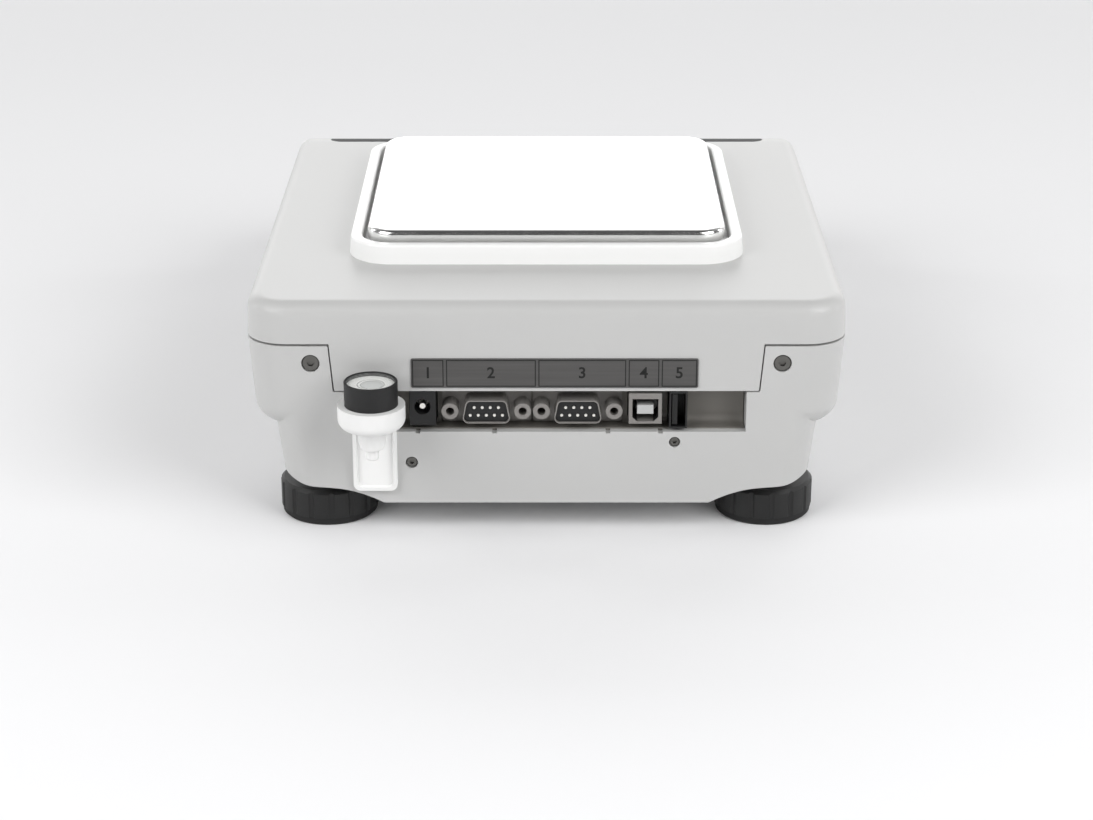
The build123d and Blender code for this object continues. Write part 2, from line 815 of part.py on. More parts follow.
def socket_cut(x, z, width, height, out=0.0):
    """A clear rectangle for one socket, on the socket plate's front or that far out of it."""
    with BuildSketch(rear_plane(x, z, plate_front + out)) as opening:
        Rectangle(width + 2 * window_gap, height + 2 * window_gap)
    return opening.sketch


sockets = [(dc_x, dc_z, dc_width, dc_height)]
sockets += [(x, serial_z, serial_shell_width, serial_shell_height) for x in serial_x]
sockets += [(usb_b_x, usb_b_z, usb_b_width, usb_b_height), (usb_a_x, usb_a_z, usb_a_width, usb_a_height)]
plate_width = bay_width - 2 * window_gap
with BuildPart() as socket_plate:
    with BuildSketch(rear_plane(bay_middle, 0, plate_front)):
        with Locations((0, (socket_plate_top_z + bay_bottom_z - socket_sheet) / 2)):
            Rectangle(plate_width, socket_plate_top_z - bay_bottom_z + socket_sheet)
    extrude(amount=-socket_sheet)
    with BuildSketch(rear_plane(bay_middle, bay_bottom_z - socket_sheet / 2, plate_front)):
        Rectangle(plate_width, socket_sheet)
    extrude(amount=bay_depth - waist_wall)
    bend_at = (bay_middle, rear_y - bay_depth, bay_bottom_z)
    bend_edge = socket_plate.edges().filter_by(Axis.X).sort_by_distance(bend_at)[0]
    fillet(bend_edge, socket_bend)
    for x, z, width, height in sockets:
        cut = socket_cut(x, z, width, height, socket_bend)
        extrude(cut, amount=-socket_bend - socket_sheet, mode=Mode.SUBTRACT)
    for x in serial_x:
        cut = socket_cut(x, serial_z, serial_flange_width, serial_flange_height, socket_bend)
        extrude(cut, amount=-socket_bend, mode=Mode.SUBTRACT)
save(socket_plate.part, "socket_plate")

with BuildPart() as dc_socket:
    with BuildSketch(rear_plane(dc_x, dc_z, -0.4)):
        Rectangle(dc_width, dc_height)
    extrude(amount=-dc_depth)
    fillet(dc_socket.faces().sort_by(Axis.Y)[-1].edges(), 0.4)
    with BuildSketch(rear_plane(dc_x, dc_z + 0.5, -0.4)):
        Circle(dc_bore / 2)
    extrude(amount=-9.0, mode=Mode.SUBTRACT)
    with BuildSketch(rear_plane(dc_x, dc_z + 0.5, -1.4)):
        Circle(dc_pin / 2)
    extrude(amount=-9.0)
save(dc_socket.part, "dc_socket")


def d_outline(grow, radius=2.0):
    """Outline of a nine-pin shell, with its wide side down."""
    half_wide = serial_shell_width / 2 + grow
    half_high = serial_shell_height / 2 + grow
    lean = serial_shell_height * math.tan(math.radians(10))
    with BuildSketch() as shell_face:
        with BuildLine():
            Polyline(
                (-half_wide, -half_high),
                (half_wide, -half_high),
                (half_wide - lean, half_high),
                (-half_wide + lean, half_high),
                close=True,
            )
        make_face()
        fillet(shell_face.vertices(), radius)
    return shell_face.sketch


for number, x in enumerate(serial_x, start=1):
    with BuildPart() as serial_socket:
        with BuildSketch(rear_plane(x, serial_z, plate_front)):
            RectangleRounded(serial_flange_width, serial_flange_height, 1.0)
        extrude(amount=1.0)
        with BuildSketch(rear_plane(x, serial_z, plate_front)):
            add(d_outline(0))
        extrude(amount=bay_depth - serial_front_sink)
        with BuildSketch(rear_plane(x, serial_z, -serial_front_sink)):
            add(d_outline(-serial_shell_sheet, 1.5))
        extrude(amount=-serial_mouth, mode=Mode.SUBTRACT)
        with BuildSketch(rear_plane(x, serial_z, -serial_front_sink - serial_mouth)):
            with Locations((0, -serial_row_pitch / 2)):
                with GridLocations(serial_pin_pitch, 1, 5, 1):
                    Circle(serial_pin / 2)
            with Locations((0, serial_row_pitch / 2)):
                with GridLocations(serial_pin_pitch, 1, 4, 1):
                    Circle(serial_pin / 2)
        extrude(amount=serial_mouth - serial_pin_sink)
        with BuildSketch(rear_plane(x, serial_z, plate_front)):
            with Locations((-serial_screw_pitch / 2, 0), (serial_screw_pitch / 2, 0)):
                Circle(serial_post_radius)
        extrude(amount=bay_depth - serial_post_sink)
        with BuildSketch(rear_plane(x, serial_z, -serial_post_sink)):
            with Locations((-serial_screw_pitch / 2, 0), (serial_screw_pitch / 2, 0)):
                Circle(serial_post_bore)
        extrude(amount=-serial_post_thread, mode=Mode.SUBTRACT)
        with BuildSketch(rear_plane(x, serial_z, plate_front)):
            add(d_outline(0))
        extrude(amount=-serial_body_depth)
    save(serial_socket.part, f"serial_socket_{number}")

with BuildPart() as serial_insulators:
    for x in serial_x:
        with BuildSketch(rear_plane(x, serial_z, -serial_front_sink - serial_mouth)):
            add(d_outline(-serial_shell_sheet - running_gap, 1.5))
            with Locations((0, -serial_row_pitch / 2)):
                with GridLocations(serial_pin_pitch, 1, 5, 1):
                    Circle(serial_pin / 2 + running_gap, mode=Mode.SUBTRACT)
            with Locations((0, serial_row_pitch / 2)):
                with GridLocations(serial_pin_pitch, 1, 4, 1):
                    Circle(serial_pin / 2 + running_gap, mode=Mode.SUBTRACT)
        extrude(amount=serial_mouth - serial_face_sink)
save(serial_insulators.part, "serial_insulators")

with BuildPart() as usb_socket_b:
    with BuildSketch(rear_plane(usb_b_x, usb_b_z, -0.4)):
        Rectangle(usb_b_width, usb_b_height)
    extrude(amount=-usb_b_depth)
    with BuildSketch(rear_plane(usb_b_x, usb_b_z - 0.6, -0.4)) as mouth:
        Rectangle(8.9, 8.2)
        chamfer(mouth.vertices().group_by(Axis.Y)[0], 1.6)
    extrude(amount=-10.0, mode=Mode.SUBTRACT)
    with BuildSketch(rear_plane(usb_b_x, usb_b_z - 0.6, -1.2)):
        Rectangle(5.6, 3.2)
    extrude(amount=-10.0)
save(usb_socket_b.part, "usb_socket_b")

with BuildPart() as usb_socket_a:
    with BuildSketch(rear_plane(usb_a_x, usb_a_z, -0.4)):
        Rectangle(usb_a_width, usb_a_height)
    extrude(amount=-usb_a_depth)
    with BuildSketch(rear_plane(usb_a_x, usb_a_z, -0.4)):
        Rectangle(usb_a_width - 2 * usb_shell, usb_a_height - 2 * usb_shell)
    extrude(amount=-9.0, mode=Mode.SUBTRACT)
    with BuildSketch(rear_plane(usb_a_x + 1.2, usb_a_z, -1.2)):
        Rectangle(1.8, usb_a_height - 2 * usb_shell - 1.2)
    extrude(amount=-9.0)
save(usb_socket_a.part, "usb_socket_a")

label_middle_z = (label_bottom_z + label_top_z) / 2
with BuildPart() as label_plate:
    with BuildSketch(rear_plane((label_left + label_right) / 2, label_middle_z)):
        RectangleRounded(label_left - label_right, label_top_z - label_bottom_z, 0.6)
    extrude(amount=label_sheet)
save(label_plate.part, "label_plate")

# Bubble level on its bracket
level_y = rear_y + level_reach
with BuildPart() as level_holder:
    with BuildSketch(rear_plane(level_x, (bracket_bottom_z + cup_top_z) / 2)) as back:
        Rectangle(bracket_width, cup_top_z - bracket_bottom_z)
        fillet(back.vertices().group_by(Axis.Y)[0], bracket_corner)
    extrude(amount=bracket_thickness)
    with BuildSketch(rear_plane(level_x, (bracket_bottom_z + cup_bottom_z) / 2, bracket_thickness)) as scoop:
        Rectangle(bracket_width - 2 * bracket_rim, cup_bottom_z - bracket_bottom_z - 2 * bracket_rim)
        fillet(scoop.vertices(), bracket_corner - 0.6)
    extrude(amount=-scoop_depth, mode=Mode.SUBTRACT, taper=20)
    with BuildSketch(Plane.XY.offset(cup_bottom_z)):
        with Locations((level_x, level_y - level_reach / 2)):
            Rectangle(bracket_width, level_reach)
        with Locations((level_x, level_y)):
            Circle(cup_radius)
    extrude(amount=cup_top_z - cup_bottom_z)
    under = level_holder.faces().filter_by(lambda f: f.normal_at().Z < -0.9)
    under = under.filter_by(lambda f: abs(f.center().Z - cup_bottom_z) < 0.1)[0]
    cup_arc = under.edges().filter_by(GeomType.CIRCLE).sort_by(Axis.Y)[-1]
    fillet(cup_arc, cup_edge)
    with BuildSketch(Plane.XY.offset(cup_bottom_z)):
        with Locations((level_x, level_y)):
            Circle(stub_top_radius)
    extrude(amount=stub_bottom_z - cup_bottom_z, taper=math.degrees(math.atan(1.0 / 7.6)))
    with BuildSketch(Plane.XY.offset(stub_bottom_z)):
        with Locations((level_x, level_y)):
            Circle(stub_pin_radius)
    extrude(amount=stub_pin_z - stub_bottom_z)
    rounds = level_holder.edges().filter_by(GeomType.CIRCLE)
    stub_end = rounds.filter_by(lambda e: abs(e.center().Z - stub_bottom_z) < 0.01 and e.radius > stub_pin_radius)
    pin_end = rounds.filter_by(lambda e: abs(e.center().Z - stub_pin_z) < 0.01)
    fillet(stub_end + pin_end, stub_round)
    with BuildSketch(Plane.XY.offset(cup_bottom_z + cup_floor)):
        with Locations((level_x, level_y)):
            Circle(level_ring_radius)
    extrude(amount=cup_top_z, mode=Mode.SUBTRACT)
save(level_holder.part, "level_holder")

vial_radius = level_ring_radius - level_ring_wall
with BuildPart() as level_ring:
    with BuildSketch(Plane.XY.offset(cup_bottom_z + cup_floor)):
        with Locations((level_x, level_y)):
            Circle(level_ring_radius)
            Circle(vial_radius, mode=Mode.SUBTRACT)
    extrude(amount=level_ring_top_z - cup_bottom_z - cup_floor)
    chamfer(level_ring.edges().group_by(Axis.Z)[-1], 0.3)
save(level_ring.part, "level_ring")

with BuildPart() as level_disc:
    with BuildSketch(Plane.XY.offset(cup_bottom_z + cup_floor)):
        with Locations((level_x, level_y)):
            Circle(vial_radius)
    extrude(amount=level_disc_z - cup_bottom_z - cup_floor)
save(level_disc.part, "level_disc")

with BuildPart() as level_glass:
    with BuildSketch(Plane.XY.offset(level_disc_z)):
        with Locations((level_x, level_y)):
            Circle(vial_radius)
    extrude(amount=level_ring_top_z - level_lip - level_disc_z)
save(level_glass.part, "level_glass")

# Screws on the rear, and from below through the posts
for side_name, side in (("left", 1), ("right", -1)):
    head_plane = rear_plane(side * cover_screw_x, cover_screw_z, -screw_sink)
    piece = screw(head_plane, cover_screw_head, screw_head_height, screw_shank, screw_length, cover_screw_socket)
    save(piece, f"cover_screw_{side_name}")
for screw_name, (x, z, head) in low_screws.items():
    head_plane = rear_plane(x, z, -screw_sink)
    piece = screw(head_plane, head, screw_head_height, screw_shank, screw_length, low_screw_socket)
    save(piece, screw_name)

with BuildPart() as case_screw_set:
    for x, y in case_screws:
        below = Plane((x, y, underside_z + 0.4), z_dir=(0, 0, -1))
        length = seam_height(y) - underside_z + 5.0
        add(screw(below, case_screw_head, case_wall - 0.4, case_screw_radius, length))
save(case_screw_set.part, "case_screws")

# Weighing cell: cast frame, parallel guides, receptor, beam, coil and magnet
cell_floor = floor_z
frame_top = cell_floor + frame_thickness
guide_levels = (guide_high_z, guide_low_z)
root_y = pan_y - guide_root
tip_y = pan_y - guide_tip
pivot_y = pan_y - beam_pivot
coil_y = pivot_y - coil_run
cheek_x = guide_half + cheek_gap + cheek_thickness / 2


def across_axis(y, z, x=0.0):
    """A plane whose normal runs along X, for pins and knuckles."""
    return Plane((x, y, z), x_dir=(0, 1, 0), z_dir=(1, 0, 0))


with BuildPart() as cell_frame:
    with BuildSketch(Plane.XY.offset(cell_floor)):
        with Locations((0, pan_y + (frame_rear - frame_front) / 2)):
            RectangleRounded(2 * frame_half, frame_rear + frame_front, 6.0)
        with Locations((0, pan_y)):
            Circle(plug_radius + 1.0, mode=Mode.SUBTRACT)
    extrude(amount=frame_thickness)
    for side in (-1, 1):
        with BuildSketch(across_axis(root_y, 0, side * (cheek_x - side * cheek_thickness / 2))):
            with Locations((0, (frame_top + guide_high_z) / 2)):
                Rectangle(2 * cheek_radius, guide_high_z - frame_top)
            with Locations((0, guide_high_z)):
                Circle(cheek_radius)
            with Locations((-cheek_radius, frame_top + 6)):
                Rectangle(4 * cheek_radius, 12)
            with Locations(*[(0, z) for z in guide_levels]):
                Circle(guide_pin_radius, mode=Mode.SUBTRACT)
        extrude(amount=cheek_thickness)
        stand_x = side * (beam_half + 1.2 + beam_stand_thickness / 2)
        with BuildSketch(across_axis(pivot_y, 0, stand_x - beam_stand_thickness / 2)):
            with Locations((0, (frame_top + beam_z) / 2)):
                Rectangle(2 * cheek_radius, beam_z - frame_top)
            with Locations((0, beam_z)):
                Circle(cheek_radius)
                Circle(guide_pin_radius, mode=Mode.SUBTRACT)
        extrude(amount=beam_stand_thickness)
save(cell_frame.part, "cell_frame")

pin_half = guide_half + cheek_gap + cheek_thickness
with BuildPart() as frame_pins:
    for z in guide_levels:
        with BuildSketch(across_axis(root_y, z)):
            Circle(guide_pin_radius)
        extrude(amount=pin_half, both=True)
    with BuildSketch(across_axis(pivot_y, beam_z)):
        Circle(guide_pin_radius)
    extrude(amount=beam_half + 1.2 + beam_stand_thickness, both=True)
save(frame_pins.part, "frame_pins")

for guide_name, z in (("upper_guide", guide_high_z), ("lower_guide", guide_low_z)):
    with BuildPart() as guide:
        with BuildSketch(Plane.XY.offset(z - guide_sheet / 2)):
            with Locations((0, (root_y + tip_y) / 2)):
                Rectangle(2 * guide_half, guide_root - guide_tip)
                RectangleRounded(
                    2 * (guide_half - guide_strip),
                    guide_root - guide_tip - 4 * knuckle_radius,
                    3.0,
                    mode=Mode.SUBTRACT,
                )
        extrude(amount=guide_sheet)
        for y in (root_y, tip_y):
            with BuildSketch(across_axis(y, z)):
                Circle(knuckle_radius)
            extrude(amount=guide_half, both=True)
        for y in (root_y, tip_y):
            with BuildSketch(across_axis(y, z)):
                Circle(guide_pin_radius + running_gap)
            extrude(amount=guide_half, both=True, mode=Mode.SUBTRACT)
    save(guide.part, guide_name)

post_top_z = carrier_top_z - 1.5
with BuildPart() as load_receptor:
    with BuildSketch(Plane.XY.offset(frame_top + receptor_clear)):
        with Locations((0, pan_y)):
            RectangleRounded(2 * receptor_half, 2 * receptor_half, 2.0)
    extrude(amount=guide_high_z + cheek_radius - frame_top - receptor_clear)
    with BuildSketch(Plane.XY.offset(guide_high_z + cheek_radius)):
        with Locations((0, pan_y)):
            Circle(receptor_half)
    with BuildSketch(Plane.XY.offset(guide_high_z + cheek_radius + 8.0)):
        with Locations((0, pan_y)):
            Circle(post_radius)
    loft(ruled=True)
    with BuildSketch(Plane.XY.offset(guide_high_z + cheek_radius + 8.0)):
        with Locations((0, pan_y)):
            Circle(post_radius)
    extrude(amount=post_top_z - guide_high_z - cheek_radius - 8.0)
    for z in guide_levels:
        with BuildSketch(Plane.XY.offset(z - cheek_radius)):
            with Locations((0, pan_y - receptor_half + 4)):
                Rectangle(2 * pin_half, 8)
            for side in (-1, 1):
                with Locations((side * cheek_x, pan_y - receptor_half / 2 - guide_tip / 2 + 2)):
                    Rectangle(cheek_thickness, guide_tip - receptor_half + cheek_radius + 4)
        extrude(amount=2 * cheek_radius)
        with BuildSketch(across_axis(tip_y, z)):
            Circle(guide_pin_radius)
        extrude(amount=pin_half, both=True)
    nose_top = beam_z + beam_height / 2
    with BuildSketch(Plane.XY.offset(nose_top + finger_gap)):
        with Locations((0, pan_y - receptor_half - 3)):
            Rectangle(2 * beam_half, 8)
    extrude(amount=finger_thickness)
save(load_receptor.part, "load_receptor")

with BuildPart() as balance_beam:
    with BuildSketch(across_axis(pivot_y, beam_z, -beam_half)) as beam_side:
        with BuildLine():
            Polyline(
                (beam_nose + 1, beam_height / 2),
                (-coil_run - 4, 1.5),
                (-coil_run - 4, -2.5),
                (-coil_run + 4, -2.5),
                (-8, -beam_height / 2 - 1),
                (4, -beam_height / 2 - 1),
                (beam_nose + 1, 0),
                close=True,
            )
        make_face()
        fillet(beam_side.vertices().sort_by(Axis.X)[-2:], 1.0)
        Circle(guide_pin_radius + running_gap, mode=Mode.SUBTRACT)
    extrude(amount=2 * beam_half)
    with BuildSketch(across_axis(coil_y, beam_z, -vane_half)):
        with Locations((-vane_length / 2 - 3, -0.5)):
            Rectangle(vane_length, 3.0)
    extrude(amount=2 * vane_half)
    with BuildSketch(Plane.XY.offset(beam_z - 2.5)):
        with Locations((0, coil_y)):
            Circle(coil_outer_radius)
            Circle(coil_inner_radius - 4, mode=Mode.SUBTRACT)
    extrude(amount=-1.6)
save(balance_beam.part, "balance_beam")

coil_top_z = beam_z - 2.5 - 1.6
with BuildPart() as coil:
    with BuildSketch(Plane.XY.offset(coil_bottom_z)):
        with Locations((0, coil_y)):
            Circle(coil_outer_radius)
            Circle(coil_inner_radius, mode=Mode.SUBTRACT)
    extrude(amount=coil_top_z - coil_bottom_z)
save(coil.part, "coil")

with BuildPart() as magnet_pot:
    with BuildSketch(Plane.XY.offset(frame_top)):
        with Locations((0, coil_y)):
            Circle(magnet_radius)
    extrude(amount=magnet_height)
    fillet(magnet_pot.edges().group_by(Axis.Z)[-1], 1.0)
    with BuildSketch(Plane.XY.offset(frame_top + magnet_height)):
        with Locations((0, coil_y)):
            Circle(magnet_groove_radius)
            Circle(magnet_core_radius, mode=Mode.SUBTRACT)
    extrude(amount=magnet_base - magnet_height, mode=Mode.SUBTRACT)
save(magnet_pot.part, "magnet_pot")

sensor_y = coil_y - magnet_radius - sensor_depth / 2 - 1.0
with BuildPart() as position_sensor:
    with BuildSketch(Plane.XY.offset(frame_top)):
        with Locations((0, sensor_y)):
            Rectangle(2 * sensor_half, sensor_depth)
    extrude(amount=sensor_top_z - frame_top)
    with BuildSketch(Plane.XY.offset(sensor_top_z)):
        with Locations((0, sensor_y)):
            Rectangle(2 * sensor_slot_half, sensor_depth)
    extrude(amount=beam_z - 6.0 - sensor_top_z, mode=Mode.SUBTRACT)
save(position_sensor.part, "position_sensor")

# Feet: rubber pad with a spigot, knurled knob, threaded stud and the insert it turns in
for foot_name, (x, y) in feet.items():
    with BuildPart() as foot_pad:
        with BuildSketch(Plane.XY):
            with Locations((x, y)):
                Circle(pad_radius)
        extrude(amount=pad_thickness)
        chamfer(foot_pad.edges().group_by(Axis.Z)[0], pad_chamfer)
        with BuildSketch(Plane.XY.offset(pad_thickness)):
            with Locations((x, y)):
                Circle(pad_pin_radius)
        extrude(amount=pad_pin_height)
    save(foot_pad.part, f"foot_pad_{foot_name}")
    with BuildPart() as foot_knob:
        with BuildSketch(Plane.XY.offset(pad_thickness + running_gap)):
            with Locations((x, y)):
                Circle(knob_radius)
        extrude(amount=knob_top_z - pad_thickness - running_gap)
        chamfer(foot_knob.edges().group_by(Axis.Z)[-1], knob_chamfer)
        with BuildSketch(Plane.XY):
            with Locations((x, y)):
                with PolarLocations(knob_radius + flute_radius - flute_depth, flute_count):
                    Circle(flute_radius)
        extrude(amount=knob_top_z, mode=Mode.SUBTRACT)
        with BuildSketch(Plane.XY):
            with Locations((x, y)):
                Circle(pad_pin_radius + running_gap)
        extrude(amount=pad_thickness + pad_pin_height + running_gap, mode=Mode.SUBTRACT)
        with BuildSketch(Plane.XY.offset(knob_top_z)):
            with Locations((x, y)):
                Circle(stud_radius)
        extrude(amount=-stud_seat, mode=Mode.SUBTRACT)
    save(foot_knob.part, f"foot_knob_{foot_name}")
    with BuildPart() as foot_stud:
        with BuildSketch(Plane.XY.offset(knob_top_z - stud_seat)):
            with Locations((x, y)):
                Circle(stud_radius)
        extrude(amount=stud_top_z - knob_top_z + stud_seat)
        chamfer(foot_stud.edges().group_by(Axis.Z)[-1], 0.8)
    save(foot_stud.part, f"foot_stud_{foot_name}")
    with BuildPart() as foot_insert:
        with BuildSketch(Plane.XY.offset(pocket_ceiling_z + insert_lip)):
            with Locations((x, y)):
                Circle(insert_radius)
                Circle(stud_radius + running_gap, mode=Mode.SUBTRACT)
        extrude(amount=insert_length)
    save(foot_insert.part, f"foot_insert_{foot_name}")

# Plug over the opening for weighing below the balance
with BuildPart() as hook_plug:
    with BuildSketch(Plane.XY.offset(underside_z)):
        with Locations((0, pan_y)):
            Circle(plug_flange_radius)
    extrude(amount=-plug_flange)
    chamfer(hook_plug.edges().group_by(Axis.Z)[0], 0.5)
    with BuildSketch(Plane.XY.offset(underside_z)):
        with Locations((0, pan_y)):
            Circle(plug_radius)
    extrude(amount=plug_depth)
save(hook_plug.part, "hook_plug")
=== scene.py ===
import json
import math

import bmesh
import bpy
from mathutils import Matrix, Vector

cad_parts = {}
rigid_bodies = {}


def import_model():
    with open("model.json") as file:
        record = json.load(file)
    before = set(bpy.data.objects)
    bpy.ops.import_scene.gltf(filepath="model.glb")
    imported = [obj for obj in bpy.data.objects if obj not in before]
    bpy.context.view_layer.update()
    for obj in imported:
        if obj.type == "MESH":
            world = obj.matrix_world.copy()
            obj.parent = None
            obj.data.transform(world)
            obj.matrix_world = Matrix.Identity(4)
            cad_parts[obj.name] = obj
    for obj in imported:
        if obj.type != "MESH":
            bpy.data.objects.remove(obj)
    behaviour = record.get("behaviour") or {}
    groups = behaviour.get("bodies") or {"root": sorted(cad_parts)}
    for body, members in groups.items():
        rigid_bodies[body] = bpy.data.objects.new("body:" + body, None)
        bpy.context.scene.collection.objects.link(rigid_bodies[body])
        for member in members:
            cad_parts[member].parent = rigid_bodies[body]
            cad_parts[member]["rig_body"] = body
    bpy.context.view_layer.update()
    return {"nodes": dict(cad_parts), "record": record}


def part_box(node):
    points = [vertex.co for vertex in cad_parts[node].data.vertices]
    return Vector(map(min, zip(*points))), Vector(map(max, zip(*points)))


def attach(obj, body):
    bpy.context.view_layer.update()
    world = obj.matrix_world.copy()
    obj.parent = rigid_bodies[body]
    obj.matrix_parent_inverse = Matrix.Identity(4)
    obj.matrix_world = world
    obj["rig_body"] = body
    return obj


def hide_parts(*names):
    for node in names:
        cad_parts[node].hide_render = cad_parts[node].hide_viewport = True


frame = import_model()
nodes = frame["nodes"]
mm = 0.001

# Camera: on the balance's middle line behind it, looking down on its rear.
# The lens and tilt give the photograph's view, with the image 1093 pixels wide.
camera_height = 361.7 * mm
camera_behind_rear = 802.5 * mm
camera_tilt = math.radians(21.48)
rear_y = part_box("lower_housing")[1].y

bpy.ops.object.camera_add(
    location=(0, rear_y + camera_behind_rear, camera_height),
    rotation=(math.pi / 2 - camera_tilt, 0, math.pi),
)
camera = bpy.context.object
camera.name = "camera"
camera.data.sensor_width = 36
camera.data.lens = 82.74
bpy.context.scene.camera = camera


# Floor: plain pale studio paper that runs up behind the balance in one sweep.
# It is matt, so it shows only a soft shadow under the case.
def srgb(hex_colour):
    """Turns an sRGB hex value to the linear colour that a shader takes."""
    channels = [int(hex_colour[i:i + 2], 16) / 255 for i in (1, 3, 5)]
    linear = [c / 12.92 if c <= 0.04045 else ((c + 0.055) / 1.055) ** 2.4 for c in channels]
    return (*linear, 1.0)


def add_node(tree, kind, settings=None, inputs=None):
    """Adds a shader node, sets its properties, and sets or links its inputs."""
    made = tree.nodes.new(kind)
    for name, value in (settings or {}).items():
        setattr(made, name, value)
    for name, value in (inputs or {}).items():
        if isinstance(value, bpy.types.NodeSocket):
            tree.links.new(value, made.inputs[name])
        else:
            made.inputs[name].default_value = value
    return made


def new_material(name):
    """An empty material and its node tree."""
    material = bpy.data.materials.new(name)
    material.use_nodes = True
    material.node_tree.nodes.clear()
    return material, material.node_tree


def finish_material(tree, shader_inputs):
    """Closes a material with its Principled shader."""
    shader = add_node(tree, "ShaderNodeBsdfPrincipled", inputs=shader_inputs)
    add_node(tree, "ShaderNodeOutputMaterial", inputs={"Surface": shader.outputs["BSDF"]})


def studio_paper():
    """Seamless background paper, off-white and quite matt."""
    material, tree = new_material("studio_paper")
    coords = add_node(tree, "ShaderNodeTexCoord")
    fibre = add_node(tree, "ShaderNodeTexNoise", inputs={"Vector": coords.outputs["Object"], "Scale": 3.0})
    tone = add_node(
        tree, "ShaderNodeMix", {"data_type": "RGBA"},
        {"Factor": fibre.outputs["Fac"], "A": srgb("#EFEFF0"), "B": srgb("#F1F1F2")},
    )
    finish_material(tree, {"Base Color": tone.outputs["Result"], "Roughness": 0.9, "Specular IOR Level": 0.2})
    return material


def select_only(piece):
    """Makes one object the only selected and active one."""
    bpy.ops.object.select_all(action="DESELECT")
    piece.select_set(True)
    bpy.context.view_layer.objects.active = piece


def edges_at(mesh, test):
    """Selects the edges whose middle passes the test, in edit mode."""
    edit = bmesh.from_edit_mesh(mesh)
    for edge in edit.edges:
        edge.select_set(test((edge.verts[0].co + edge.verts[1].co) / 2))
    bmesh.update_edit_mesh(mesh)


bpy.ops.object.select_all(action="DESELECT")
bpy.ops.mesh.primitive_plane_add(size=1, location=(0, 0, 0))
paper = bpy.context.object
paper.name = "paper_sweep"
paper.scale = (12, 5, 1)
paper.location = (0, -0.3, 0)
bpy.ops.object.transform_apply(location=True, scale=True)
bpy.ops.object.mode_set(mode="EDIT")
bpy.ops.mesh.select_all(action="DESELECT")
edges_at(paper.data, lambda middle: middle.y < -2.7)
bpy.ops.mesh.extrude_region_move(TRANSFORM_OT_translate={"value": (0, -0.6, 3.0)})
bpy.ops.mesh.select_all(action="DESELECT")
edges_at(paper.data, lambda middle: abs(middle.y + 2.8) < 0.01)
bpy.ops.mesh.bevel(offset=1.2, segments=16)
bpy.ops.object.mode_set(mode="OBJECT")
bpy.ops.object.shade_smooth()
paper.data.materials.append(studio_paper())


# Lights: a softbox on each side of the camera, a wide white panel behind the balance,
# and an upright strip beyond each side that rims the case's rounded edges.
# The panel is what the steel pan reflects. The room behind the camera stays dim, so the pan's fold is dark.
def softbox(name, place, aim, size, power):
    """One square soft light that faces a point."""
    bpy.ops.object.light_add(type="AREA", location=place)
    light = bpy.context.object
    light.name = name
    light.data.shape = "RECTANGLE"
    light.data.size, light.data.size_y = size
    light.data.energy = power
    light.rotation_euler = (Vector(aim) - Vector(place)).to_track_quat("-Z", "Y").to_euler()


def studio_air():
    """A pale backdrop for the camera, and a dim room that is brighter behind the balance for all else."""
    world = bpy.data.worlds.new("studio_air")
    world.use_nodes = True
    tree = world.node_tree
    tree.nodes.clear()
    direction = add_node(tree, "ShaderNodeTexCoord").outputs["Generated"]
    across = add_node(tree, "ShaderNodeSeparateXYZ", None, {"Vector": direction})
    level = add_node(
        tree, "ShaderNodeMapRange", {"interpolation_type": "SMOOTHSTEP"},
        {"Value": across.outputs["Y"], "From Min": -0.8, "From Max": 0.15, "To Min": 0.7, "To Max": 0.05},
    )
    room = add_node(tree, "ShaderNodeBackground", None, {"Strength": level.outputs["Result"]})
    backdrop = add_node(tree, "ShaderNodeBackground", None, {"Color": srgb("#E4E5E7"), "Strength": 1.0})
    seen = add_node(tree, "ShaderNodeLightPath").outputs["Is Camera Ray"]
    mixed = add_node(tree, "ShaderNodeMixShader", None, {0: seen, 1: room.outputs[0], 2: backdrop.outputs[0]})
    add_node(tree, "ShaderNodeOutputWorld", None, {"Surface": mixed.outputs[0]})
    return world


softbox("left_softbox", (1.1, 1.0, 0.95), (0, 0, 0.05), (1.2, 1.2), 19.5)
softbox("right_softbox", (-1.1, 1.0, 0.95), (0, 0, 0.05), (1.2, 1.2), 21.5)
softbox("left_strip", (1.7, -0.5, 0.45), (0, 0, 0.06), (0.25, 1.2), 5)
softbox("right_strip", (-1.7, -0.5, 0.45), (0, 0, 0.06), (0.25, 1.2), 5)
softbox("back_panel", (0, -2.4, 0.95), (0, 0, 0.1), (4.4, 1.7), 44)
bpy.context.scene.world = studio_air()
bpy.context.scene.view_settings.view_transform = "Standard"


